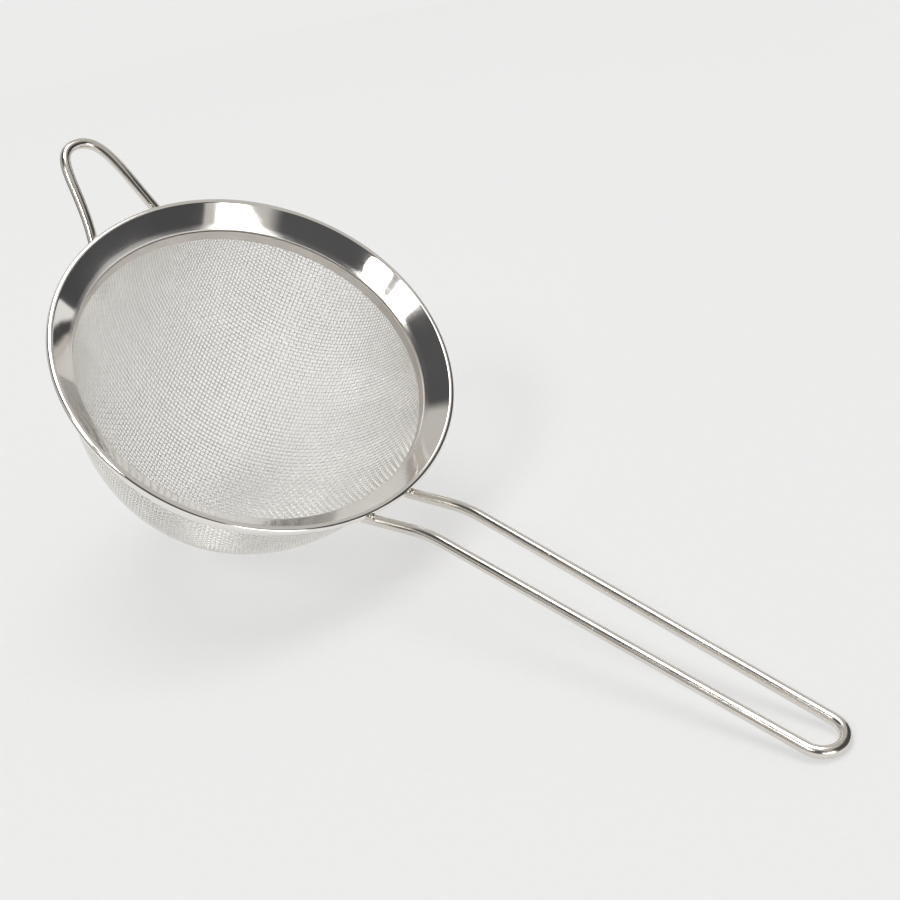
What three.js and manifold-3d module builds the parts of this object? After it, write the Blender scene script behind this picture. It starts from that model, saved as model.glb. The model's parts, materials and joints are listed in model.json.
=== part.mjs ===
// A fine-mesh tea strainer: a woven stainless bowl clamped in a polished flared rim, with a long wire
// loop handle and a short wire hook that sits on the far lip of a cup. It lies as it does on a table,
// on the side of its bowl and the end of its handle. Millimetres, +Z up, +X towards the handle.
import * as THREE from "three";
import { mergeVertices } from "three/addons/utils/BufferGeometryUtils.js";
import Module from "manifold-3d";

// Driving dimensions. The rim frame has its origin at the centre of the rolled edge's circle, its z
// axis square to the mouth and its x axis along the handle.
const rimRadius = 40; // outermost radius of the rolled edge
const beadRadius = 0.75; // section radius of the rolled edge
const beadLand = 0.7; // width of the flat that rolling leaves on top of the edge
const sheet = 0.5; // thickness of the rim's steel sheet
const flangeWidth = 4.2; // from the middle of the rolled edge to the inner lip, across the rim
const flangeDrop = 3.35; // how far the flared flange falls over that width
const clearance = 0.3; // gap kept between pieces that touch
const bandInset = 0.1; // how far the clamp band stands inside the flange's inner lip
const bandThickness = 0.4;
const bandHeight = 2;
const bandTaper = 0.3; // how much the band narrows towards its foot
const collarOverlap = 0.4; // how far the rim's collar reaches below the clamp band
const meshThickness = 0.5; // two wires of the plain weave
const bowlDepth = 46; // from the rim's middle plane to the outside of the bowl's nose
const bowlFullness = 1.7; // exponent of the bowl's outline: 1 is a cone, 2 an ellipse
const wireRadius = 1.05;
const weldRoom = 1.745; // from the outside of the rim's collar to the welded ends of the wires
const handleRise = 42; // degrees at which the handle leaves the rim, along the flange
const handleRun = 13.5; // straight length before the handle's bend
const handleBend = 28; // centre-line radius of that bend
const handlePitch = 26; // degrees between the handle's long legs and the rim plane
const handleLength = 99.7; // centre-line length from the weld to the rounded end
const handleSpread = 5.3; // half the distance between the legs at the rim
const handleEndRadius = 4; // centre-line radius of the rounded end
const hookFoot = 5; // depth of the hook's welded ends, beside the collar, below the rim's middle plane
const hookSpread = 9.45; // half the distance between the hook's legs at the rim
const hookWaistAt = 10; // distance outwards from the weld of the waist that the legs draw in towards
const hookWaist = 4.8; // half width of that waist
const hookWaistHeight = 1.4; // height of that waist above the rim's middle plane
const hookReach = 21.25; // distance outwards from the weld to the hook's tip
const hookShoulder = 6.95; // half width of the arch under the tip
const hookTipHeight = 3.05; // height of the tip above the rim's middle plane
const weldRadius = 0.8;
const weldThickness = 0.8; // of the flattened weld bead at the end of each leg

// Facets.
const ringSegments = 72;
const bowlSegments = 56;
const bowlSteps = 13;
const beadSteps = 8;
const wireSides = 8;
const handleSteps = 120;
const hookSteps = 48;
const weldSides = 10;

// Sizes that follow from them.
const beadCentre = rimRadius - beadRadius;
const flangeAngle = Math.atan2(flangeDrop, flangeWidth);
const lipRadius = beadCentre - flangeWidth;
const lipEnd = lipRadius - (sheet / 2) * Math.cos(flangeAngle);
const lipFoot = -flangeDrop - (sheet / 2) * Math.cos(flangeAngle);
const bandTop = lipFoot - clearance;
const bandFoot = bandTop - bandHeight;
const bandInner = lipEnd - bandInset;
const meshInner = bandInner + bandThickness + clearance;
const meshMiddle = meshInner + meshThickness / 2;
const collarInner = meshInner + meshThickness + clearance;
const collarFoot = bandFoot - collarOverlap;
const meshTop = flangeUnderside(meshInner) - clearance;
const wireStart = collarInner + sheet + weldRoom;
const wireDepth = wireHeightAt(wireStart);

const wasm = await Module();
wasm.setup();

const steel = (colour, roughness) =>
  new THREE.MeshStandardMaterial({ color: colour, roughness, metalness: 1 });
const polishedSteel = steel(0xd9d7d4, 0.12);
const brushedSteel = steel(0xc9c2b8, 0.45);
const wovenSteel = steel(0xd6d4cf, 0.35);
const wireSteel = steel(0xdcd9d2, 0.18);
const weldSteel = steel(0xb9b2a8, 0.4);

// Height of the flange's lower face at a distance from the rim's axis.
function flangeUnderside(radius) {
  const middle = -(beadCentre - radius) * Math.tan(flangeAngle);
  return middle - sheet / 2 / Math.cos(flangeAngle);
}

// Height of a wire's centre line where it lies against the flange's lower face.
function wireHeightAt(radius) {
  const touching = (wireRadius + clearance) / Math.cos(flangeAngle);
  return flangeUnderside(radius) - touching;
}

const polar = (radius, degrees) =>
  new THREE.Vector2(
    radius * Math.cos(THREE.MathUtils.degToRad(degrees)),
    radius * Math.sin(THREE.MathUtils.degToRad(degrees)),
  );

// Points of an arc about the rolled edge's centre, from one angle to another in degrees.
function beadArc(from, to, steps) {
  const points = [];
  for (let i = 0; i <= steps; i++) {
    const point = polar(beadRadius, from + ((to - from) * i) / steps);
    points.push(point.add(new THREE.Vector2(beadCentre, 0)));
  }
  return points;
}

// A body of revolution about z from a profile of (radius, height) points that runs clockwise, closed
// on itself or from axis to axis.
function revolve(profile, segments) {
  return new THREE.LatheGeometry([...profile].reverse(), segments).rotateX(Math.PI / 2);
}

function rimProfile() {
  const flangeDegrees = THREE.MathUtils.radToDeg(flangeAngle);
  const sheetDegrees = THREE.MathUtils.radToDeg(Math.asin(sheet / 2 / beadRadius));
  const landDegrees = THREE.MathUtils.radToDeg(Math.asin(beadLand / 2 / beadRadius));
  const lowerJoin = flangeDegrees + sheetDegrees - 180;
  const lip = new THREE.Vector2(lipRadius, -flangeDrop);
  const along = polar(sheet / 2, flangeDegrees);
  const across = polar(sheet / 2, flangeDegrees + 90);
  const lipTop = lip.clone().add(across);
  const toBead = new THREE.Vector2(beadCentre, 0).sub(lipTop);
  const tangent = toBead.angle() + Math.asin(beadRadius / toBead.length());
  const topJoin = 90 + THREE.MathUtils.radToDeg(tangent);
  const collarOuter = collarInner + sheet;
  return [
    lip.clone().sub(along),
    lipTop,
    ...beadArc(topJoin, 90 + landDegrees, beadSteps / 2),
    ...beadArc(90 - landDegrees, lowerJoin, beadSteps),
    new THREE.Vector2(collarOuter, flangeUnderside(collarOuter)),
    new THREE.Vector2(collarOuter, collarFoot),
    new THREE.Vector2(collarInner, collarFoot),
    new THREE.Vector2(collarInner, flangeUnderside(collarInner)),
    lip.clone().sub(across),
    lip.clone().sub(along),
  ];
}

function bandProfile() {
  const top = [bandInner, bandInner + bandThickness];
  return [
    new THREE.Vector2(top[0], bandTop),
    new THREE.Vector2(top[1], bandTop),
    new THREE.Vector2(top[1] - bandTaper, bandFoot),
    new THREE.Vector2(top[0] - bandTaper, bandFoot),
    new THREE.Vector2(top[0], bandTop),
  ];
}

// The bowl's outline, (r / a)^2 + (w / d)^n = 1, moved along its own normal by an offset.
function bowlOutline(offset) {
  const depth = bowlDepth - meshThickness / 2 + meshTop;
  const points = [];
  for (let i = 0; i <= bowlSteps; i++) {
    const turn = (Math.PI / 2) * (i / bowlSteps);
    const radius = i === bowlSteps ? 0 : meshMiddle * Math.cos(turn);
    const drop = depth * Math.sin(turn) ** (2 / bowlFullness);
    const outward = new THREE.Vector2(
      (2 * radius) / meshMiddle ** 2,
      (-bowlFullness / depth) * (drop / depth) ** (bowlFullness - 1),
    );
    outward.normalize().multiplyScalar(offset);
    points.push(new THREE.Vector2(radius, meshTop - drop).add(outward));
  }
  return points;
}

function bowlProfile() {
  const inside = bowlOutline(-meshThickness / 2);
  const outside = bowlOutline(meshThickness / 2);
  return [...inside.reverse(), ...outside];
}

// The handle's centre line: one leg out, round the end and back along the other leg.
class HandleLine extends THREE.Curve {
  constructor() {
    super();
    this.arcLengthDivisions = 1000;
    this.leg = handleLength - handleEndRadius;
    this.span = 2 * this.leg + Math.PI * handleEndRadius;
    this.startX = Math.sqrt(wireStart ** 2 - handleSpread ** 2);
  }

  // The point at a distance from the weld, seen from the side, and y off the middle plane.
  at(distance, y) {
    const rise = THREE.MathUtils.degToRad(handleRise);
    const pitch = THREE.MathUtils.degToRad(handlePitch);
    const run = Math.min(distance, handleRun);
    const bent = Math.min(Math.max(distance - handleRun, 0) / handleBend, rise - pitch);
    const rest = Math.max(distance - handleRun - handleBend * (rise - pitch), 0);
    const now = rise - bent;
    const bendX = handleBend * (Math.sin(rise) - Math.sin(now));
    const bendZ = handleBend * (Math.cos(now) - Math.cos(rise));
    const x = this.startX + run * Math.cos(rise) + bendX + rest * Math.cos(pitch);
    const z = wireDepth + run * Math.sin(rise) + bendZ + rest * Math.sin(pitch);
    return new THREE.Vector3(x, y, z);
  }

  getPoint(t) {
    const distance = t * this.span;
    const end = this.span - this.leg;
    if (distance > this.leg && distance < end) {
      const turn = (distance - this.leg) / handleEndRadius;
      const past = handleEndRadius * Math.sin(turn);
      return this.at(this.leg + past, handleEndRadius * Math.cos(turn));
    }
    const side = distance <= this.leg ? 1 : -1;
    const along = side > 0 ? distance : this.span - distance;
    const closing = (handleEndRadius - handleSpread) * (along / this.leg);
    return this.at(along, side * (handleSpread + closing));
  }
}

// The hook's centre line: two mirrored curves that rise from the collar's side and meet at the tip.
function hookLine() {
  const startX = Math.sqrt(wireStart ** 2 - hookSpread ** 2);
  const half = (side) => [
    new THREE.Vector3(-startX, side * hookSpread, -hookFoot),
    new THREE.Vector3(-startX - hookWaistAt, side * hookWaist, hookWaistHeight),
    new THREE.Vector3(-startX - hookReach, side * hookShoulder, hookTipHeight),
    new THREE.Vector3(-startX - hookReach, 0, hookTipHeight),
  ];
  const line = new THREE.CurvePath();
  line.add(new THREE.CubicBezierCurve3(...half(1)));
  line.add(new THREE.CubicBezierCurve3(...half(-1).reverse()));
  return line;
}

// A round wire of a given radius along a centre line.
function wire(line, radius, steps) {
  const outline = [];
  for (let i = 0; i < wireSides; i++) {
    outline.push(polar(radius, (360 * (i + 0.5)) / wireSides));
  }
  return new THREE.ExtrudeGeometry(new THREE.Shape(outline), { steps, extrudePath: line });
}

function toSolid(geometry) {
  const bare = geometry.clone();
  bare.deleteAttribute("normal");
  bare.deleteAttribute("uv");
  const merged = mergeVertices(bare, 1e-4);
  return new wasm.Manifold(
    new wasm.Mesh({
      numProp: 3,
      vertProperties: merged.attributes.position.array,
      triVerts: new Uint32Array(merged.index.array),
    }),
  );
}

function toGeometry(solid) {
  const { vertProperties, triVerts } = solid.getMesh();
  const geometry = new THREE.BufferGeometry();
  geometry.setAttribute("position", new THREE.BufferAttribute(vertProperties, 3));
  geometry.setIndex(new THREE.BufferAttribute(triVerts, 1));
  geometry.computeVertexNormals();
  return geometry;
}

// The rim, with a notch pressed into its rolled edge where each handle leg passes under it.
function rimGeometry(handleLine) {
  const ring = toSolid(revolve(rimProfile(), ringSegments));
  const room = toSolid(wire(handleLine, wireRadius + clearance, handleSteps));
  return toGeometry(ring.subtract(room));
}

function piece(name, geometry, material) {
  const mesh = new THREE.Mesh(geometry, material);
  mesh.name = name;
  return mesh;
}

// A flattened bead of weld metal behind one end of a wire.
function weld(name, line, t) {
  const end = line.getPoint(t);
  const inward = line.getTangent(t).multiplyScalar(t === 0 ? -1 : 1);
  const bead = new THREE.SphereGeometry(weldRadius, weldSides, weldSides / 2);
  bead.rotateX(Math.PI / 2).scale(1, 1, weldThickness / 2 / weldRadius);
  const mesh = piece(name, bead, weldSteel);
  mesh.position.copy(end).addScaledVector(inward, clearance + weldThickness / 2);
  mesh.quaternion.setFromUnitVectors(new THREE.Vector3(0, 0, 1), inward);
  return mesh;
}

// Lowest point of a mesh once the rim frame is turned about y by an angle.
function lowest(mesh, angle) {
  const { array } = mesh.geometry.attributes.position;
  let low = Infinity;
  for (let i = 0; i < array.length; i += 3) {
    low = Math.min(low, array[i + 2] * Math.cos(angle) - array[i] * Math.sin(angle));
  }
  return low;
}

// The angle at which the bowl's side and the handle's end stand on one level.
function restAngle(bowl, handle) {
  let shallow = 0;
  let steep = Math.PI / 2;
  for (let i = 0; i < 40; i++) {
    const middle = (shallow + steep) / 2;
    const handleHigher = lowest(handle, middle) > lowest(bowl, middle);
    if (handleHigher) shallow = middle;
    else steep = middle;
  }
  return shallow;
}

const handleLine = new HandleLine();
const hook = hookLine();
const bowl = piece("mesh_bowl", revolve(bowlProfile(), bowlSegments), wovenSteel);
const handle = piece("handle_wire", wire(handleLine, wireRadius, handleSteps), wireSteel);

const strainer = new THREE.Group();
strainer.add(
  piece("rim_flange", rimGeometry(handleLine), polishedSteel),
  piece("clamp_band", revolve(bandProfile(), ringSegments), brushedSteel),
  bowl,
  handle,
  piece("hook_wire", wire(hook, wireRadius, hookSteps), wireSteel),
  weld("handle_weld_left", handleLine, 0),
  weld("handle_weld_right", handleLine, 1),
  weld("hook_weld_left", hook, 0),
  weld("hook_weld_right", hook, 1),
);
strainer.rotation.y = restAngle(bowl, handle);

// The origin is on the table, under the middle of the whole strainer.
const part = new THREE.Group();
part.add(strainer);
const bounds = new THREE.Box3().setFromObject(part, true);
const middle = bounds.getCenter(new THREE.Vector3());
strainer.position.set(-middle.x, -middle.y, -bounds.min.z);

export default part;
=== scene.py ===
"""The looks of a fine-mesh tea strainer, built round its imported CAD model.

Every piece is worked out in the rim frame, in millimetres: the origin is the centre of the rolled
edge's circle, z is square to the mouth and x points towards the handle. row_points() then takes it to
the row frame, in metres.
"""
import json
import math
import bpy
import numpy as np
from mathutils import Matrix, Vector


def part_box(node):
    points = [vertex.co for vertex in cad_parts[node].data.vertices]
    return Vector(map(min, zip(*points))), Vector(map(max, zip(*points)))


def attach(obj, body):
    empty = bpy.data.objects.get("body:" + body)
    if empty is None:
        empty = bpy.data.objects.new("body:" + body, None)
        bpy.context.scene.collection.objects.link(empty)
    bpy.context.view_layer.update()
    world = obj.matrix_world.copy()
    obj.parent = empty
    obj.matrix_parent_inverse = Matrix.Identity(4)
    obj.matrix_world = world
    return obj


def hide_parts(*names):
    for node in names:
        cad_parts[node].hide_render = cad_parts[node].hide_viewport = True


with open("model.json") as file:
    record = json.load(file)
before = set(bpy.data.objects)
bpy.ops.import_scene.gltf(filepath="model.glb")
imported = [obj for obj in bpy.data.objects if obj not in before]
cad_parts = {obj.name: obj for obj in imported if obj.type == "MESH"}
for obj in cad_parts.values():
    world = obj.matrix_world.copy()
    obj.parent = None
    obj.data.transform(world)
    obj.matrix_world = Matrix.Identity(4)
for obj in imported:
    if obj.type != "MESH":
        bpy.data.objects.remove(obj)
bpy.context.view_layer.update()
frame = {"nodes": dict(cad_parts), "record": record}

MM = 0.001

# Sizes in millimetres and degrees, the same as the CAD model's.
RIM_RADIUS = 40
BEAD_RADIUS = 0.75
BEAD_LAND = 0.7
SHEET = 0.5
FLANGE_WIDTH = 4.2
FLANGE_DROP = 3.35
CLEARANCE = 0.3
BAND_INSET = 0.1
BAND_THICKNESS = 0.4
BAND_HEIGHT = 2
BAND_TAPER = 0.3
COLLAR_OVERLAP = 0.4
MESH_THICKNESS = 0.5
BOWL_DEPTH = 46
BOWL_FULLNESS = 1.7
WIRE_RADIUS = 1.05
WELD_ROOM = 1.745
HANDLE_RISE = 42
HANDLE_RUN = 13.5
HANDLE_BEND = 28
HANDLE_PITCH = 26
HANDLE_LENGTH = 99.7
HANDLE_SPREAD = 5.3
HANDLE_END_RADIUS = 4
HOOK_FOOT = 5
HOOK_SPREAD = 9.45
HOOK_WAIST_AT = 10
HOOK_WAIST = 4.8
HOOK_WAIST_HEIGHT = 1.4
HOOK_REACH = 21.25
HOOK_SHOULDER = 6.95
HOOK_TIP_HEIGHT = 3.05

# Sizes that follow from them.
BEAD_CENTRE = RIM_RADIUS - BEAD_RADIUS
FLANGE_ANGLE = math.atan2(FLANGE_DROP, FLANGE_WIDTH)
LIP_RADIUS = BEAD_CENTRE - FLANGE_WIDTH
LIP_END = LIP_RADIUS - SHEET / 2 * math.cos(FLANGE_ANGLE)
BAND_TOP = -FLANGE_DROP - SHEET / 2 * math.cos(FLANGE_ANGLE) - CLEARANCE
BAND_INNER = LIP_END - BAND_INSET
MESH_INNER = BAND_INNER + BAND_THICKNESS + CLEARANCE
MESH_MIDDLE = MESH_INNER + MESH_THICKNESS / 2
COLLAR_INNER = MESH_INNER + MESH_THICKNESS + CLEARANCE
COLLAR_FOOT = BAND_TOP - BAND_HEIGHT - COLLAR_OVERLAP
WIRE_START = COLLAR_INNER + SHEET + WELD_ROOM


def flange_underside(radius):
    """Height of the flange's lower face at a distance from the rim's axis."""
    return -(BEAD_CENTRE - radius) * math.tan(FLANGE_ANGLE) - SHEET / 2 / math.cos(FLANGE_ANGLE)


MESH_TOP = flange_underside(MESH_INNER) - CLEARANCE
MESH_DEPTH = BOWL_DEPTH - MESH_THICKNESS / 2 + MESH_TOP
WIRE_DEPTH = flange_underside(WIRE_START) - (WIRE_RADIUS + CLEARANCE) / math.cos(FLANGE_ANGLE)

# The weave.
WEAVE_PITCH = 0.84
WEAVE_WIRE = 0.125  # radius of a woven wire
WEAVE_TURN = 30  # degrees from the handle's direction to the nearest wire through the bowl's nose
WEAVE_SIDES = 6
WEAVE_STEPS = 3  # points on a wire between two crossings
WEAVE_JITTER = 0.018  # how far a wire strays sideways
WEAVE_PIECES = 4  # meshes that the wires of each direction are shared between

RNG = np.random.default_rng(7)


# The rim frame's place in the row frame.

def node_points(name):
    vertices = frame["nodes"][name].data.vertices
    points = np.empty(len(vertices) * 3)
    vertices.foreach_get("co", points)
    return points.reshape(-1, 3)


def rim_frame():
    """The rim frame's axes, as columns, and its origin, from the rim's mount and CAD nodes."""
    axis = np.array(frame["record"]["mounts"][0]["axis"], float)
    axis /= np.linalg.norm(axis)
    across = np.array((0.0, 1.0, 0.0))
    along = np.cross(across, axis)
    land_height = math.sqrt(BEAD_RADIUS ** 2 - (BEAD_LAND / 2) ** 2) * MM
    level = (node_points("rim_flange") @ axis).max() - land_height
    on_axis = node_points("clamp_band").mean(axis=0)
    on_axis[1] = 0
    origin = on_axis + axis * (level - on_axis @ axis)
    return np.column_stack((along, across, axis)), origin


RIM_AXES, RIM_ORIGIN = rim_frame()


def row_points(points):
    """Rim frame, millimetres, to row frame, metres."""
    return np.asarray(points) * MM @ RIM_AXES.T + RIM_ORIGIN


# Mesh building.

def unit(vectors):
    return vectors / np.linalg.norm(vectors, axis=-1, keepdims=True)


def grid_quads(rows, columns, wrap):
    """Quads between the rows of a grid whose columns run round a section. wrap joins the last row
    to the first."""
    row = np.arange(rows if wrap else rows - 1)[:, None]
    column = np.arange(columns)[None, :]
    after = (row + 1) % rows
    beside = (column + 1) % columns
    here, there = row * columns, after * columns
    corners = [here + column, here + beside, there + beside, there + column]
    return np.stack([np.broadcast_to(c, (len(row), columns)) for c in corners], axis=-1).reshape(-1, 4)


def grid_uvs(lengths, girths):
    """A UV pair for every corner of grid_quads: metres along the rows and round the section."""
    row = np.arange(len(lengths) - 1)[:, None]
    column = np.arange(len(girths) - 1)[None, :]
    pairs = [(row, column), (row, column + 1), (row + 1, column + 1), (row + 1, column)]
    shape = (len(lengths) - 1, len(girths) - 1)
    u = np.stack([np.broadcast_to(lengths[r], shape) for r, _ in pairs], axis=-1)
    v = np.stack([np.broadcast_to(girths[c], shape) for _, c in pairs], axis=-1)
    return np.stack((u, v), axis=-1).reshape(-1, 2) * MM


def make_piece(name, points, polygons, uvs, material, node):
    """A smooth mesh object from rim-frame points that stands for a CAD node. polygons is a list of
    arrays, one for each number of corners."""
    mesh = bpy.data.meshes.new(name)
    mesh.vertices.add(len(points))
    mesh.vertices.foreach_set("co", row_points(points).astype(np.float32).ravel())
    corners = np.concatenate([p.ravel() for p in polygons])
    sizes = np.concatenate([np.full(len(p), p.shape[1]) for p in polygons])
    mesh.loops.add(len(corners))
    mesh.loops.foreach_set("vertex_index", corners.astype(np.int32))
    mesh.polygons.add(len(sizes))
    starts = np.concatenate(([0], np.cumsum(sizes)[:-1]))
    mesh.polygons.foreach_set("loop_start", starts.astype(np.int32))
    mesh.polygons.foreach_set("use_smooth", np.ones(len(sizes), bool))
    layer = mesh.uv_layers.new(name="surface")
    layer.uv.foreach_set("vector", uvs.astype(np.float32).ravel())
    mesh.update(calc_edges=True)
    mesh.materials.append(material)
    piece = bpy.data.objects.new(name, mesh)
    bpy.context.collection.objects.link(piece)
    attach(piece, "root")
    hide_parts(node)


def ring(name, profile, segments, material, node, shape=None):
    """A body of revolution from a closed profile of (radius, height) points. shape moves its points,
    an array of (segment, profile point, xyz)."""
    profile = np.asarray(profile, float)
    turn = np.arange(segments) * 2 * math.pi / segments
    radius = profile[None, :, 0]
    x = np.cos(turn)[:, None] * radius
    y = np.sin(turn)[:, None] * radius
    z = np.broadcast_to(profile[None, :, 1], x.shape)
    points = np.stack((x, y, z), axis=-1)
    if shape:
        points = shape(points)
    quads = grid_quads(segments, len(profile), True)
    girths = np.cumsum(np.linalg.norm(np.diff(profile, axis=0, append=profile[:1]), axis=1))
    girths = np.concatenate(([0], girths))
    lengths = np.linspace(0, 2 * math.pi * profile[:, 0].mean(), segments + 1)
    make_piece(name, points.reshape(-1, 3), [quads], grid_uvs(lengths, girths), material, node)


def tube_grid(line, normals, radii, sides):
    """Rings of points round a centre line, with each ring's first axis near its normal."""
    tangents = unit(np.gradient(line, axis=0))
    sideways = unit(np.cross(tangents, normals))
    upward = np.cross(sideways, tangents)
    turn = np.arange(sides) * 2 * math.pi / sides
    spread = np.cos(turn)[None, :, None] * upward[:, None] - np.sin(turn)[None, :, None] * sideways[:, None]
    return line[:, None] + spread * np.asarray(radii)[:, None, None]


def tube_uvs(line, radius, sides):
    lengths = np.concatenate(([0], np.cumsum(np.linalg.norm(np.diff(line, axis=0), axis=1))))
    return grid_uvs(lengths, np.linspace(0, 2 * math.pi * radius, sides + 1))


# Shader nodes.

class Shader:
    """A material under construction: a Principled surface fed by a few procedural nodes. The colour
    and roughness it starts with are the middle of what the nodes give."""

    def __init__(self, name, colour, roughness, metallic=1.0):
        self.material = bpy.data.materials.new(name)
        self.material.use_nodes = True
        self.tree = self.material.node_tree
        self.surface = self.tree.nodes["Principled BSDF"]
        self.surface.inputs["Base Color"].default_value = (*colour, 1)
        self.surface.inputs["Roughness"].default_value = roughness
        self.surface.inputs["Metallic"].default_value = metallic

    def node(self, kind, **values):
        made = self.tree.nodes.new(kind)
        for key, value in values.items():
            setattr(made, key, value)
        return made

    def link(self, output, target):
        self.tree.links.new(output, target)

    def coordinates(self, scale, source="surface"):
        """A UV map's or the object's coordinates, in metres, times a scale for each direction."""
        if source == "object":
            vector = self.node("ShaderNodeTexCoord").outputs["Object"]
        else:
            vector = self.node("ShaderNodeUVMap", uv_map=source).outputs["UV"]
        mapping = self.node("ShaderNodeMapping")
        mapping.inputs["Scale"].default_value = scale
        self.link(vector, mapping.inputs["Vector"])
        return mapping.outputs["Vector"]

    def noise(self, vector, detail=3.0, roughness=0.5):
        noise = self.node("ShaderNodeTexNoise")
        noise.inputs["Scale"].default_value = 1
        noise.inputs["Detail"].default_value = detail
        noise.inputs["Roughness"].default_value = roughness
        self.link(vector, noise.inputs["Vector"])
        return noise.outputs["Fac"]

    def between(self, value, low, high, to_low, to_high):
        """A value's run from low to high, stretched to another run and held at its ends."""
        remap = self.node("ShaderNodeMapRange", clamp=True)
        for name, number in zip(("From Min", "From Max", "To Min", "To Max"), (low, high, to_low, to_high)):
            remap.inputs[name].default_value = number
        self.link(value, remap.inputs["Value"])
        return remap.outputs["Result"]

    def math(self, operation, first, second):
        maths = self.node("ShaderNodeMath", operation=operation)
        for value, socket in zip((first, second), maths.inputs):
            if isinstance(value, (int, float)):
                socket.default_value = value
            else:
                self.link(value, socket)
        return maths.outputs["Value"]

    def tones(self, value, *stops):
        """A colour from a value, by (position, colour) stops."""
        ramp = self.node("ShaderNodeValToRGB")
        elements = ramp.color_ramp.elements
        while len(elements) < len(stops):
            elements.new(0.5)
        for element, (position, colour) in zip(elements, stops):
            element.position = position
            element.color = (*colour, 1)
        self.link(value, ramp.inputs["Fac"])
        return ramp.outputs["Color"]

    def set(self, name, output):
        """Feeds one of the surface's inputs."""
        self.link(output, self.surface.inputs[name])

    def bump(self, height, distance):
        """Raises the surface by a height map, over any bump that it already has. Metres."""
        bump = self.node("ShaderNodeBump")
        bump.inputs["Distance"].default_value = distance
        self.link(height, bump.inputs["Height"])
        if self.surface.inputs["Normal"].is_linked:
            self.link(self.surface.inputs["Normal"].links[0].from_socket, bump.inputs["Normal"])
        self.link(bump.outputs["Normal"], self.surface.inputs["Normal"])


def matt_lip(shader):
    """Extra roughness at the rim's inner lip, which the polishing wheel reaches less. The surface's
    second coordinate runs round the section, from the lip and back to it."""
    extra = 0.1
    fade_from, full_from, full_to, fade_to = 1.3 * MM, 0.5 * MM, 0.4 * MM, 0.9 * MM
    outline = np.asarray(rim_profile())
    girth = np.linalg.norm(np.diff(outline, axis=0, append=outline[:1]), axis=1).sum() * MM
    split = shader.node("ShaderNodeSeparateXYZ")
    shader.link(shader.coordinates((1, 1, 1)), split.inputs["Vector"])
    before_lip = shader.between(split.outputs["Y"], girth - fade_from, girth - full_from, 0, extra)
    past_lip = shader.between(split.outputs["Y"], full_to, fade_to, extra, 0)
    return shader.math("MAXIMUM", before_lip, past_lip)


def polished_rim_steel():
    """Mirror-polished sheet: marks that run round the rim, faint smears and slow waves."""
    shader = Shader("polished_rim_steel", (0.89, 0.865, 0.83), 0.07)
    smear = shader.noise(shader.coordinates((60, 60, 60), "object"), detail=4)
    marks = shader.noise(shader.coordinates((40, 9000, 1)), detail=2)
    cloud = shader.between(smear, 0.35, 0.75, 0.04, 0.1)
    rough = shader.math("ADD", cloud, shader.between(marks, 0.55, 0.8, 0, 0.06))
    shader.set("Roughness", shader.math("ADD", rough, matt_lip(shader)))
    shader.set("Base Color", shader.tones(smear, (0.3, (0.86, 0.835, 0.8)), (0.7, (0.92, 0.895, 0.86))))
    waves = shader.noise(shader.coordinates((55, 90, 1)), detail=1)
    shader.bump(waves, 0.00012)
    shader.bump(marks, 0.0000012)
    return shader.material


def band_steel():
    """Stamped sheet, left matt, with a brushed grain and faint blotches."""
    shader = Shader("clamped_band_steel", (0.73, 0.695, 0.655), 0.42)
    grain = shader.noise(shader.coordinates((300, 9000, 1)), detail=3)
    blotch = shader.noise(shader.coordinates((160, 160, 160), "object"), detail=3)
    shader.set("Base Color", shader.tones(blotch, (0.3, (0.68, 0.645, 0.605)), (0.7, (0.78, 0.745, 0.705))))
    shader.set("Roughness", shader.between(grain, 0.3, 0.7, 0.34, 0.5))
    shader.bump(grain, 0.000006)
    return shader.material


def woven_steel():
    """Fine drawn wire: small changes of tone from wire to wire and along each one."""
    shader = Shader("woven_steel_wire", (0.92, 0.905, 0.87), 0.35)
    tone = shader.noise(shader.coordinates((260, 260, 260), "object"), detail=3)
    drawn = shader.noise(shader.coordinates((900, 16000, 1)), detail=2)
    shader.set("Base Color", shader.tones(tone, (0.3, (0.89, 0.875, 0.84)), (0.7, (0.95, 0.935, 0.9))))
    shader.set("Roughness", shader.between(drawn, 0.3, 0.7, 0.28, 0.42))
    shader.bump(drawn, 0.000004)
    return shader.material


def polished_wire_steel():
    """Bright drawn wire: die lines along its length, small nicks and a slightly uneven polish."""
    shader = Shader("polished_wire_steel", (0.74, 0.71, 0.66), 0.14)
    lines = shader.noise(shader.coordinates((60, 5200, 1)), detail=4, roughness=0.6)
    polish = shader.noise(shader.coordinates((150, 150, 150), "object"), detail=4)
    nicks = shader.noise(shader.coordinates((900, 1400, 1)), detail=4, roughness=0.65)
    shader.set("Base Color", shader.tones(polish, (0.3, (0.7, 0.67, 0.62)), (0.7, (0.78, 0.75, 0.7))))
    rough = shader.between(polish, 0.3, 0.7, 0.09, 0.19)
    shader.set("Roughness", shader.math("ADD", rough, shader.between(lines, 0.5, 0.75, 0, 0.1)))
    shader.bump(lines, 0.000012)
    shader.bump(shader.between(nicks, 0.66, 0.74, 1, 0), 0.00002)
    return shader.material


def weld_steel():
    """Weld metal: darker and rougher, with a straw and blue heat tint."""
    shader = Shader("weld_steel", (0.5, 0.46, 0.42), 0.38)
    heat = shader.noise(shader.coordinates((900, 900, 900), "object"), detail=3)
    tint = shader.tones(
        heat, (0.3, (0.52, 0.5, 0.48)), (0.5, (0.55, 0.45, 0.33)), (0.68, (0.36, 0.36, 0.42))
    )
    shader.set("Base Color", tint)
    shader.set("Roughness", shader.between(heat, 0.3, 0.7, 0.28, 0.5))
    shader.bump(heat, 0.00006)
    return shader.material


# Centre lines of the two bent wires, with a normal at each point.

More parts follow.
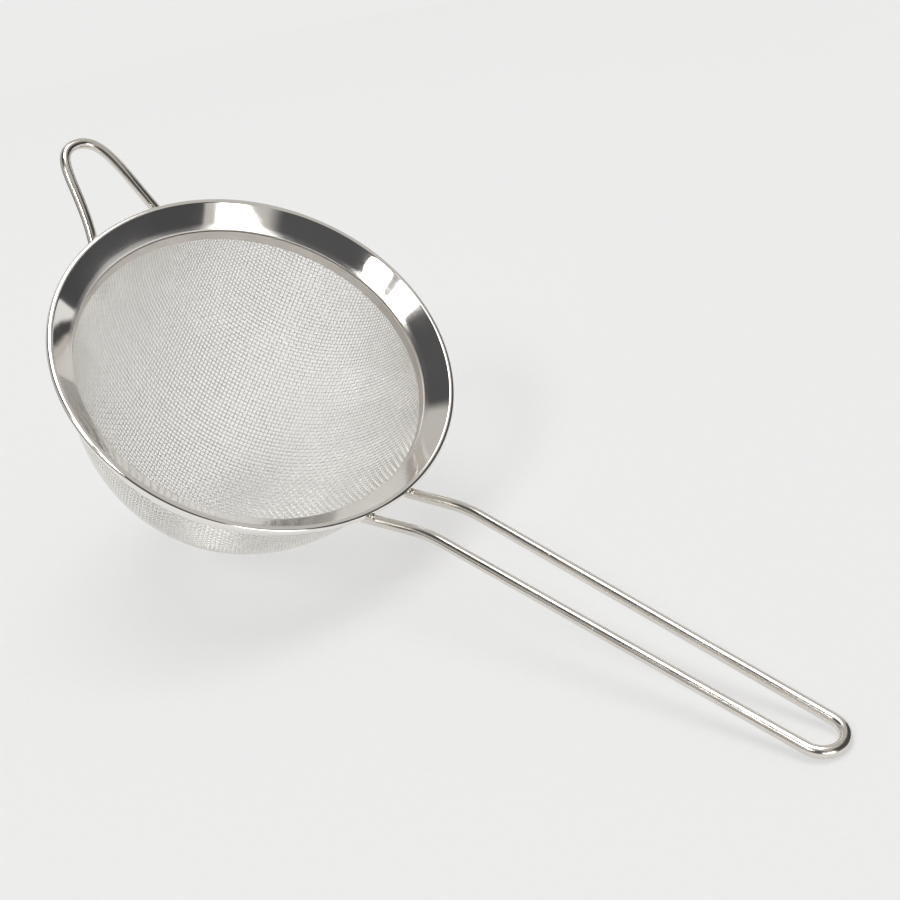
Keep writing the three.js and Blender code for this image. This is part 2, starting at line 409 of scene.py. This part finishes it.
def handle_line(steps):
    """One leg out from its weld, round the end and back along the other leg."""
    leg = HANDLE_LENGTH - HANDLE_END_RADIUS
    span = 2 * leg + math.pi * HANDLE_END_RADIUS
    start = math.sqrt(WIRE_START ** 2 - HANDLE_SPREAD ** 2)
    rise, pitch = math.radians(HANDLE_RISE), math.radians(HANDLE_PITCH)
    distance = np.linspace(0, span, steps)
    turn = np.clip((distance - leg) / HANDLE_END_RADIUS, 0, math.pi)
    side = np.where(distance < span / 2, 1, -1)
    out = np.where(side > 0, distance, span - distance)
    closing = (HANDLE_END_RADIUS - HANDLE_SPREAD) * out / leg
    rounded = (turn > 0) & (turn < math.pi)
    out = np.where(rounded, leg + HANDLE_END_RADIUS * np.sin(turn), out)
    y = np.where(rounded, HANDLE_END_RADIUS * np.cos(turn), side * (HANDLE_SPREAD + closing))
    run = np.minimum(out, HANDLE_RUN)
    bent = np.clip((out - HANDLE_RUN) / HANDLE_BEND, 0, rise - pitch)
    rest = np.maximum(out - HANDLE_RUN - HANDLE_BEND * (rise - pitch), 0)
    now = rise - bent
    bend_reach = HANDLE_BEND * (math.sin(rise) - np.sin(now))
    x = start + run * math.cos(rise) + bend_reach + rest * math.cos(pitch)
    bend_height = HANDLE_BEND * (np.cos(now) - math.cos(rise))
    z = WIRE_DEPTH + run * math.sin(rise) + bend_height + rest * math.sin(pitch)
    normals = np.stack((-np.sin(now), np.zeros_like(now), np.cos(now)), axis=-1)
    return np.stack((x, y, z), axis=-1), normals


def hook_line(steps):
    """Two mirrored cubic curves that rise from the collar's side and meet at the tip."""
    start = math.sqrt(WIRE_START ** 2 - HOOK_SPREAD ** 2)
    controls = np.array((
        (-start, HOOK_SPREAD, -HOOK_FOOT),
        (-start - HOOK_WAIST_AT, HOOK_WAIST, HOOK_WAIST_HEIGHT),
        (-start - HOOK_REACH, HOOK_SHOULDER, HOOK_TIP_HEIGHT),
        (-start - HOOK_REACH, 0, HOOK_TIP_HEIGHT),
    ))
    t = np.linspace(0, 1, steps // 2)[:, None]
    half = np.hstack(((1 - t) ** 3, 3 * t * (1 - t) ** 2, 3 * t ** 2 * (1 - t), t ** 3)) @ controls
    line = np.vstack((half, half[-2::-1] * (1, -1, 1)))
    slope = unit(controls[3] - controls[0]) * (1, 0, 1)
    normal = np.array((slope[2], 0, -slope[0]))
    return line, np.broadcast_to(normal, line.shape)


def bent_wire(name, line, normals, material, node):
    """A round wire with its cut ends rounded over."""
    sides, cap_steps = 32, 5
    round_over = 0.35
    turns = np.linspace(0, math.pi / 2, cap_steps + 1)[1:]
    beyond = round_over * np.sin(turns)[:, None]
    tangents = unit(np.gradient(line, axis=0))
    first_tip = line[0] - tangents[0] * beyond[::-1]
    last_tip = line[-1] + tangents[-1] * beyond
    line = np.vstack((first_tip, line, last_tip))
    normals = np.pad(normals, ((cap_steps, cap_steps), (0, 0)), "edge")
    cap_radii = WIRE_RADIUS - round_over * (1 - np.cos(turns))
    radii = np.concatenate((cap_radii[::-1], np.full(len(line) - 2 * cap_steps, WIRE_RADIUS), cap_radii))
    grid = tube_grid(line, normals, radii, sides)
    quads = grid_quads(len(line), sides, False)
    last = len(line) * sides - sides
    caps = np.array([np.arange(sides)[::-1], np.arange(last, last + sides)])
    uvs = np.vstack((tube_uvs(line, WIRE_RADIUS, sides), np.zeros((2 * sides, 2))))
    make_piece(name, grid.reshape(-1, 3), [quads, caps], uvs, material, node)


# The rim and the band that clamps the mesh in it.

def arc(centre, radius, start, end, steps):
    """Points of an arc in a profile, from one angle to another in degrees."""
    turn = np.radians(np.linspace(start, end, steps + 1))
    return [(centre[0] + radius * math.cos(a), centre[1] + radius * math.sin(a)) for a in turn]


def straight(start, end, steps, crown=0.0):
    """Points between two others, without the ends, standing proud of their line by a crown."""
    start, end = np.array(start), np.array(end)
    left = np.array((start[1] - end[1], end[0] - start[0])) / np.linalg.norm(end - start)
    share = np.linspace(0, 1, steps + 1)[1:-1]
    return [tuple(start + (end - start) * s + left * crown * 4 * s * (1 - s)) for s in share]


def rim_profile():
    """Runs anticlockwise from the lip, under the flange and round the collar to the rolled edge."""
    land_sag, face_sag = 0.04, 0.02
    slope = math.degrees(FLANGE_ANGLE)
    half = SHEET / 2
    sheet_turn = math.degrees(math.asin(half / BEAD_RADIUS))
    land_turn = math.degrees(math.asin(BEAD_LAND / 2 / BEAD_RADIUS))
    lip = (LIP_RADIUS, -FLANGE_DROP)
    collar_outer = COLLAR_INNER + SHEET
    foot = (COLLAR_INNER + half, COLLAR_FOOT + half)
    bead = (BEAD_CENTRE, 0)
    lip_arc = arc(lip, half, slope + 90, slope + 270, 10)
    collar_root = (COLLAR_INNER, flange_underside(COLLAR_INNER))
    collar_turn = (collar_outer, flange_underside(collar_outer))
    foot_arc = arc(foot, half, 180, 360, 10)
    lip_top = (lip[0] - half * math.sin(FLANGE_ANGLE), lip[1] + half * math.cos(FLANGE_ANGLE))
    reach = math.hypot(bead[0] - lip_top[0], bead[1] - lip_top[1])
    tangent = math.atan2(bead[1] - lip_top[1], bead[0] - lip_top[0]) + math.asin(BEAD_RADIUS / reach)
    under_bead = arc(bead, BEAD_RADIUS, slope + sheet_turn - 180, 90 - land_turn, 26)
    over_bead = arc(bead, BEAD_RADIUS, 90 + land_turn, 90 + math.degrees(tangent), 6)
    profile = list(lip_arc)
    profile += straight(lip_arc[-1], collar_root, 3)
    profile += [collar_root]
    profile += straight(collar_root, foot_arc[0], 6)
    profile += foot_arc
    profile += straight(foot_arc[-1], collar_turn, 6)
    profile += [collar_turn]
    profile += straight(collar_turn, under_bead[0], 8)
    profile += under_bead
    profile += straight(under_bead[-1], over_bead[0], 5, -land_sag)
    profile += over_bead
    profile += straight(over_bead[-1], lip_arc[0], 18, -face_sag)
    return profile


def pressed_over(line, depth):
    """A shape function for ring(): lifts the points that a wire would pass through, clear of it."""
    margin = 3

    def shape(points):
        flat = points.reshape(-1, 3)
        beside = np.abs(flat[:, 1]) < HANDLE_SPREAD + margin
        near = np.flatnonzero(beside & (flat[:, 0] > LIP_RADIUS))
        for index in near:
            offsets = flat[index] - line
            distances = np.linalg.norm(offsets, axis=1)
            closest = distances.argmin()
            if distances[closest] < depth:
                flat[index] = line[closest] + offsets[closest] / distances[closest] * depth
        return flat.reshape(points.shape)
    return shape


def make_rim(material):
    segments, line_steps = 720, 2400
    wire_gap = 0.04
    line, _ = handle_line(line_steps)
    press = pressed_over(line, WIRE_RADIUS + wire_gap)
    ring("rim", rim_profile(), segments, material, "rim_flange", press)


def band_profile():
    """Runs anticlockwise from the top's outer corner, down the inner face and round the foot."""
    corner = 0.12
    top_outer = BAND_INNER + BAND_THICKNESS
    foot = BAND_TOP - BAND_HEIGHT
    outline = arc((top_outer - corner, BAND_TOP - corner), corner, 0, 90, 4)
    outline += arc((BAND_INNER + corner, BAND_TOP - corner), corner, 90, 180, 4)
    inner_top = outline[-1]
    inner_foot = arc((BAND_INNER - BAND_TAPER + corner, foot + corner), corner, 180, 270, 4)
    outline += straight(inner_top, inner_foot[0], 14)
    outline += inner_foot
    outline += arc((top_outer - BAND_TAPER - corner, foot + corner), corner, 270, 360, 4)
    return outline


def printed_by_mesh(points):
    """Presses a faint print of the weave into the lower part of the band's inner face."""
    print_depth = 0.03
    plain_top, fade_height = 0.7, 0.8
    face_tolerance = 0.02
    around = np.arctan2(points[..., 1], points[..., 0])
    radius = np.hypot(points[..., 0], points[..., 1])
    height = points[..., 2]
    count = round(2 * math.pi * BAND_INNER / WEAVE_PITCH)
    inner_face = radius < BAND_INNER + face_tolerance
    fade = np.clip((BAND_TOP - plain_top - height) / fade_height, 0, 1) * inner_face
    ripple = np.cos(count * around) * np.cos(2 * math.pi * height / WEAVE_PITCH)
    grown = 1 + print_depth * fade * ripple / radius
    return points * np.stack((grown, grown, np.ones_like(grown)), axis=-1)


def make_band(material):
    segments = 1404
    profile = band_profile()
    ring("mesh_clamp_band", profile, segments, material, "clamp_band", printed_by_mesh)


# The woven bowl. A net of pin-jointed squares, laid on the bowl from two wires that cross at its
# nose, keeps every wire's length between crossings, as real mesh does when it is formed.

def surface_value(points):
    """Zero on the weave's middle surface, about in millimetres, with a straight wall above it."""
    drop = np.clip((MESH_TOP - points[..., 2]) / MESH_DEPTH, 0, None)
    flat = (points[..., 0] ** 2 + points[..., 1] ** 2) / MESH_MIDDLE ** 2
    return (flat + drop ** BOWL_FULLNESS - 1) * MESH_MIDDLE / 2


def surface_slope(points):
    """How surface_value changes along each axis, so also the surface's normal."""
    drop = np.clip((MESH_TOP - points[..., 2]) / MESH_DEPTH, 0, None)
    slope = np.empty_like(points)
    slope[..., :2] = points[..., :2] / MESH_MIDDLE
    slope[..., 2] = -BOWL_FULLNESS * drop ** (BOWL_FULLNESS - 1) / MESH_DEPTH * MESH_MIDDLE / 2
    return slope


def meridian(count):
    """Points a pitch apart up the bowl from its nose, as (radius, height)."""
    fine_steps = 4000
    turn = np.linspace(math.pi / 2, 0, fine_steps)
    radius = MESH_MIDDLE * np.cos(turn)
    height = MESH_TOP - MESH_DEPTH * np.sin(turn) ** (2 / BOWL_FULLNESS)
    radius = np.append(radius, MESH_MIDDLE)
    height = np.append(height, MESH_TOP + count * WEAVE_PITCH)
    length = np.concatenate(([0], np.cumsum(np.hypot(np.diff(radius), np.diff(height)))))
    wanted = np.arange(count) * WEAVE_PITCH
    return np.interp(wanted, length, radius), np.interp(wanted, length, height)


def quarter_net(count):
    """Crossings (i, j) of one quarter of the net, by Newton's method along its diagonals."""
    newton_steps, steadying = 12, 1e-9
    radius, height = meridian(count)
    net = np.zeros((count, count, 3))
    net[:, 0] = np.stack((radius, np.zeros(count), height), axis=-1)
    net[0, :] = np.stack((np.zeros(count), radius, height), axis=-1)
    for diagonal in range(2, 2 * count - 1):
        i = np.arange(max(1, diagonal - count + 1), min(diagonal, count))
        j = diagonal - i
        before, beside = net[i - 1, j], net[i, j - 1]
        point = before + beside - net[i - 1, j - 1]
        for _ in range(newton_steps):
            to_before, to_beside = point - before, point - beside
            errors = np.stack((
                surface_value(point),
                (to_before ** 2).sum(axis=-1) - WEAVE_PITCH ** 2,
                (to_beside ** 2).sum(axis=-1) - WEAVE_PITCH ** 2,
            ), axis=-1)
            slopes = np.stack((surface_slope(point), 2 * to_before, 2 * to_beside), axis=-2)
            slopes += np.eye(3) * steadying
            step = np.linalg.solve(slopes, errors[..., None])[..., 0]
            point = point - np.clip(step, -WEAVE_PITCH / 2, WEAVE_PITCH / 2)
        net[i, j] = point
    return net


def whole_net(count):
    """The four quarters, mirrored, turned to the weave's direction and strayed a little."""
    quarter = quarter_net(count)
    half = np.concatenate((quarter[:0:-1] * (-1, 1, 1), quarter))
    net = np.concatenate((half[:, :0:-1] * (1, -1, 1), half), axis=1)
    across = np.gradient(net, axis=0) / WEAVE_PITCH
    along = np.gradient(net, axis=1) / WEAVE_PITCH
    net = net + across * RNG.normal(0, WEAVE_JITTER, (len(net), 1, 1))
    net = net + along * RNG.normal(0, WEAVE_JITTER, (1, len(net), 1))
    turn = math.radians(WEAVE_TURN)
    cos, sin = math.cos(turn), math.sin(turn)
    rotation = np.array(((cos, -sin, 0), (sin, cos, 0), (0, 0, 1)))
    return net @ rotation.T


def smooth_rows(net):
    """Each row of crossings as a smooth curve, with WEAVE_STEPS points for each pitch."""
    before, start, end, after = net[:, :-3], net[:, 1:-2], net[:, 2:-1], net[:, 3:]
    points = []
    for step in range(WEAVE_STEPS):
        t = step / WEAVE_STEPS
        points.append(0.5 * (
            2 * start + (end - before) * t
            + (2 * before - 5 * start + 4 * end - after) * t ** 2
            + (3 * start - before - 3 * end + after) * t ** 3
        ))
    return np.stack(points, axis=2).reshape(len(net), -1, 3)


def woven_rows(net, sign):
    """The wires along the net's rows, each over one crossing and under the next."""
    curves = smooth_rows(net)
    normals = unit(surface_slope(curves))
    count = curves.shape[1]
    phase = math.pi * (1 + np.arange(count) / WEAVE_STEPS)[None, :]
    wave = np.cos(phase) * np.where(np.arange(len(net)) % 2, -1, 1)[:, None]
    wires = []
    for index in range(len(net)):
        inside = curves[index, :, 2] <= MESH_TOP
        middle = count // 2
        if not inside[middle]:
            continue
        low = middle - np.argmin(inside[middle::-1]) + 1
        high = middle + np.argmin(inside[middle:])
        if high - low < 2 * WEAVE_STEPS:
            continue
        offset = sign * WEAVE_WIRE * wave[index, low:high, None] * normals[index, low:high]
        wires.append((curves[index, low:high] + offset, normals[index, low:high]))
    return wires


def make_woven_piece(name, wires, material):
    """One mesh of many closed wires, each a tube whose six-sided ends are two quads apiece."""
    ends = np.array(((3, 2, 1, 0), (5, 4, 3, 0)))
    end_corners = 2 * ends.size
    grids, quads, uvs, start = [], [], [], 0
    for line, normals in wires:
        radii = np.full(len(line), WEAVE_WIRE)
        grids.append(tube_grid(line, normals, radii, WEAVE_SIDES).reshape(-1, 3))
        last = start + (len(line) - 1) * WEAVE_SIDES
        quads.append(start + grid_quads(len(line), WEAVE_SIDES, False))
        quads.append(np.vstack((start + ends, last + ends[:, ::-1])))
        uvs.append(tube_uvs(line, WEAVE_WIRE, WEAVE_SIDES))
        uvs.append(np.zeros((end_corners, 2)))
        start = last + WEAVE_SIDES
    points = np.vstack(grids)
    make_piece(name, points, [np.vstack(quads)], np.vstack(uvs), material, "mesh_bowl")


def make_weave(material):
    crossings = 80  # from the nose to past the mouth
    net = whole_net(crossings)
    for kind, grid, sign in (("warp", net, 1), ("weft", net.transpose(1, 0, 2), -1)):
        wires = woven_rows(grid, sign)
        for index, share in enumerate(np.array_split(np.arange(len(wires)), WEAVE_PIECES)):
            name = f"{kind}_wires_{index + 1}"
            make_woven_piece(name, [wires[k] for k in share], material)


# Welds.

def make_weld(node, along, lean, lift, material):
    """A nugget of weld metal that joins a wire's end to the rim, rippled where it froze. along is the
    wire's direction, lean the angle from the rim's axis to the way the nugget stands off the wire."""
    rows, columns = 40, 64
    length, width, height = 1.25, 1.2, 0.8
    pole = 0.04
    ring_ripple, lobe_ripple, spiral_ripple = 0.035, 0.05, 0.03
    low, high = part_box(node)
    centre = (np.array((low + high) / 2) - RIM_ORIGIN) @ RIM_AXES / MM
    radial = unit(np.array((centre[0], centre[1], 0)))
    normal = radial * -math.sin(lean) + np.array((0, 0, math.cos(lean)))
    forward = unit(along - normal * (along @ normal))
    sideways = np.cross(normal, forward)
    polar = np.linspace(pole, math.pi - pole, rows)[:, None]
    around = np.arange(columns)[None, :] * 2 * math.pi / columns
    phases = RNG.uniform(0, 2 * math.pi, 3)
    ripple = 1 + ring_ripple * np.sin(11 * np.cos(polar) + phases[0])
    ripple = ripple + lobe_ripple * np.sin(3 * around + phases[1]) * np.sin(polar)
    ripple = ripple + spiral_ripple * np.sin(5 * around + 4 * polar + phases[2]) * np.sin(polar)
    local = np.stack((
        length * np.cos(polar) * ripple,
        width * np.sin(polar) * np.cos(around) * ripple,
        height * np.sin(polar) * np.sin(around) * ripple,
    ), axis=-1)
    points = centre + normal * lift + local @ np.stack((forward, sideways, normal))
    quads = grid_quads(rows, columns, False)
    caps = np.array([np.arange(columns)[::-1], np.arange((rows - 1) * columns, rows * columns)])
    lengths = np.linspace(0, math.pi * length, rows)
    girths = np.linspace(0, 2 * math.pi * width, columns + 1)
    uvs = np.vstack((grid_uvs(lengths, girths), np.zeros((2 * columns, 2))))
    make_piece(node + "_nugget", points.reshape(-1, 3), [quads, caps], uvs, material, node)


# The stage, in metres and degrees.

CAMERA_AZIMUTH = 48.67
CAMERA_ELEVATION = 27.68
CAMERA_ROLL = -10.83
CAMERA_DISTANCE = 0.3099
CAMERA_TARGET = Vector((-0.01065, 0.01742, 0.02))
CAMERA_LENS = 64


def make_floor():
    """A pale studio sweep that glows a little: a level floor that curves up into a low wall."""
    half_width, front, back, wall = 9.0, 12.0, 2.6, 2.4
    bend = 1.2
    glow = 0.485
    turn = np.radians(np.linspace(0, 90, 25))
    outline = [(-front, 0.0)]
    outline += [(back + bend * math.sin(a), bend * (1 - math.cos(a))) for a in turn]
    outline += [(back + bend, wall)]
    azimuth = math.radians(CAMERA_AZIMUTH)
    away = Vector((-math.sin(azimuth), math.cos(azimuth), 0))
    side = Vector((math.cos(azimuth), math.sin(azimuth), 0))
    edge = side * half_width
    rows = [away * distance + Vector((0, 0, height)) for distance, height in outline]
    vertices = [row + shift for row in rows for shift in (-edge, edge)]
    faces = [(2 * k, 2 * k + 1, 2 * k + 3, 2 * k + 2) for k in range(len(outline) - 1)]
    mesh = bpy.data.meshes.new("studio_sweep")
    mesh.from_pydata(vertices, [], faces)
    mesh.shade_smooth()
    shader = Shader("studio_paper", (0.36, 0.36, 0.36), 0.75, 0)
    fibre = shader.noise(shader.coordinates((700, 700, 700), "object"), detail=3)
    paper = shader.tones(fibre, (0.3, (0.355, 0.355, 0.355)), (0.7, (0.365, 0.365, 0.365)))
    shader.set("Base Color", paper)
    shader.surface.inputs["Specular IOR Level"].default_value = 0.1
    shader.surface.inputs["Emission Color"].default_value = (1, 1, 1, 1)
    shader.surface.inputs["Emission Strength"].default_value = glow
    mesh.materials.append(shader.material)
    floor = bpy.data.objects.new("studio_sweep", mesh)
    bpy.context.collection.objects.link(floor)


def direction(azimuth, elevation):
    """A unit vector. Azimuth turns anticlockwise from +X, seen from above."""
    a, e = math.radians(azimuth), math.radians(elevation)
    return Vector((math.cos(a) * math.cos(e), math.sin(a) * math.cos(e), math.sin(e)))


def softbox(name, azimuth, elevation, distance, width, height, power, roll=0):
    """A rectangular light that faces the strainer, with its power in watts."""
    lamp = bpy.data.lights.new(name, "AREA")
    lamp.shape = "RECTANGLE"
    lamp.size = width
    lamp.size_y = height
    lamp.energy = power
    light = bpy.data.objects.new(name, lamp)
    bpy.context.collection.objects.link(light)
    away = direction(azimuth, elevation)
    light.location = away * distance
    facing = away.to_track_quat("Z", "Y").to_matrix().to_4x4()
    light.rotation_euler = (Matrix.Rotation(math.radians(roll), 4, away) @ facing).to_euler()
    return light


def make_world():
    """Pale grey studio walls with two dark stretches, one beside the camera and one high up."""
    wall, dark = (0.53, 0.517, 0.497), (0.085, 0.085, 0.088)
    stretches = ((-52, 28, 24, 32), (-140, 58, 20, 26))  # azimuth, elevation, inner and outer radius
    world = bpy.data.worlds.new("studio")
    world.use_nodes = True
    tree = world.node_tree
    ray = tree.nodes.new("ShaderNodeTexCoord").outputs["Generated"]
    total = tree.nodes.new("ShaderNodeMath")
    total.operation = "ADD"
    total.use_clamp = True
    for index, (azimuth, elevation, inner, outer) in enumerate(stretches):
        dot = tree.nodes.new("ShaderNodeVectorMath")
        dot.operation = "DOT_PRODUCT"
        dot.inputs[1].default_value = direction(azimuth, elevation)
        tree.links.new(ray, dot.inputs[0])
        remap = tree.nodes.new("ShaderNodeMapRange")
        remap.interpolation_type = "SMOOTHSTEP"
        remap.inputs["From Min"].default_value = math.cos(math.radians(outer))
        remap.inputs["From Max"].default_value = math.cos(math.radians(inner))
        tree.links.new(dot.outputs["Value"], remap.inputs["Value"])
        tree.links.new(remap.outputs["Result"], total.inputs[index])
    tones = tree.nodes.new("ShaderNodeValToRGB")
    tones.color_ramp.elements[0].color = (*wall, 1)
    tones.color_ramp.elements[1].color = (*dark, 1)
    tree.links.new(total.outputs["Value"], tones.inputs["Fac"])
    tree.links.new(tones.outputs["Color"], tree.nodes["Background"].inputs["Color"])
    bpy.context.scene.world = world


def make_dark_card(name, start, end, height):
    """A curved dark card that the polished steel mirrors and that nothing else sees."""
    radius, steps = 0.5, 32
    vertices = []
    for step in range(steps + 1):
        foot = direction(start + (end - start) * step / steps, 0) * radius
        vertices += [foot, foot + Vector((0, 0, height))]
    faces = [(2 * k, 2 * k + 2, 2 * k + 3, 2 * k + 1) for k in range(steps)]
    mesh = bpy.data.meshes.new(name)
    mesh.from_pydata(vertices, [], faces)
    mesh.materials.append(Shader(name, (0.07, 0.07, 0.075), 0.9, 0).material)
    card = bpy.data.objects.new(name, mesh)
    bpy.context.collection.objects.link(card)
    card.visible_camera = False
    card.visible_diffuse = False
    card.visible_shadow = False


def make_lights():
    """Soft light from above, the lights that the polished rim mirrors, and the dark cards between."""
    softbox("overhead_light", 120, 82, 4.0, 2.6, 2.6, 60)
    glint = softbox("right_light", -18, 11, 0.48, 0.26, 0.12, 0.3)
    glint.visible_diffuse = False
    softbox("left_light", -92, 50, 2.8, 0.5, 0.5, 9, 45)
    softbox("front_light", -74, 41, 2.8, 0.6, 0.45, 9, 20)
    fill = softbox("fill_light", 0, 90, 3.6, 9.0, 9.0, 25)
    fill.visible_glossy = False
    make_world()
    make_dark_card("right_card", 3, 84, 0.56)
    make_dark_card("left_card", 112, 262, 0.085)
    bpy.context.scene.view_settings.view_transform = "Standard"


def make_camera():
    """The photograph's angle of view. Azimuth 0 looks along +Y."""
    azimuth, elevation = math.radians(CAMERA_AZIMUTH), math.radians(CAMERA_ELEVATION)
    back = Vector((
        math.sin(azimuth) * math.cos(elevation),
        -math.cos(azimuth) * math.cos(elevation),
        math.sin(elevation),
    ))
    level = Vector((0, 0, 1)).cross(back).normalized()
    right = Matrix.Rotation(math.radians(CAMERA_ROLL), 3, back) @ level
    up = back.cross(right)
    pose = Matrix((right, up, back)).transposed().to_4x4()
    pose.translation = CAMERA_TARGET + back * CAMERA_DISTANCE
    data = bpy.data.cameras.new("camera")
    data.lens = CAMERA_LENS
    data.sensor_width = 36
    data.clip_start = 0.01
    camera = bpy.data.objects.new("camera", data)
    bpy.context.collection.objects.link(camera)
    camera.matrix_world = pose
    bpy.context.scene.camera = camera


# Everything together. The lifts are millimetres from a CAD weld's middle to its nugget's.

FLANGE_WELD_LIFT = 0.45
COLLAR_WELD_LIFT = 0.95
HANDLE_STEPS = 900
HOOK_STEPS = 360

make_camera()
make_floor()
make_lights()

make_rim(polished_rim_steel())
make_band(band_steel())
make_weave(woven_steel())
wire_material = polished_wire_steel()
handle, handle_normals = handle_line(HANDLE_STEPS)
hook, hook_normals = hook_line(HOOK_STEPS)
bent_wire("handle_loop", handle, handle_normals, wire_material, "handle_wire")
bent_wire("resting_hook", hook, hook_normals, wire_material, "hook_wire")
weld_material = weld_steel()
welded_wires = (
    (handle, "handle", FLANGE_ANGLE, FLANGE_WELD_LIFT),
    (hook, "hook", math.pi / 2, COLLAR_WELD_LIFT),
)
for line, prefix, lean, lift in welded_wires:
    make_weld(prefix + "_weld_left", unit(line[0] - line[1]), lean, lift, weld_material)
    make_weld(prefix + "_weld_right", unit(line[-1] - line[-2]), lean, lift, weld_material)
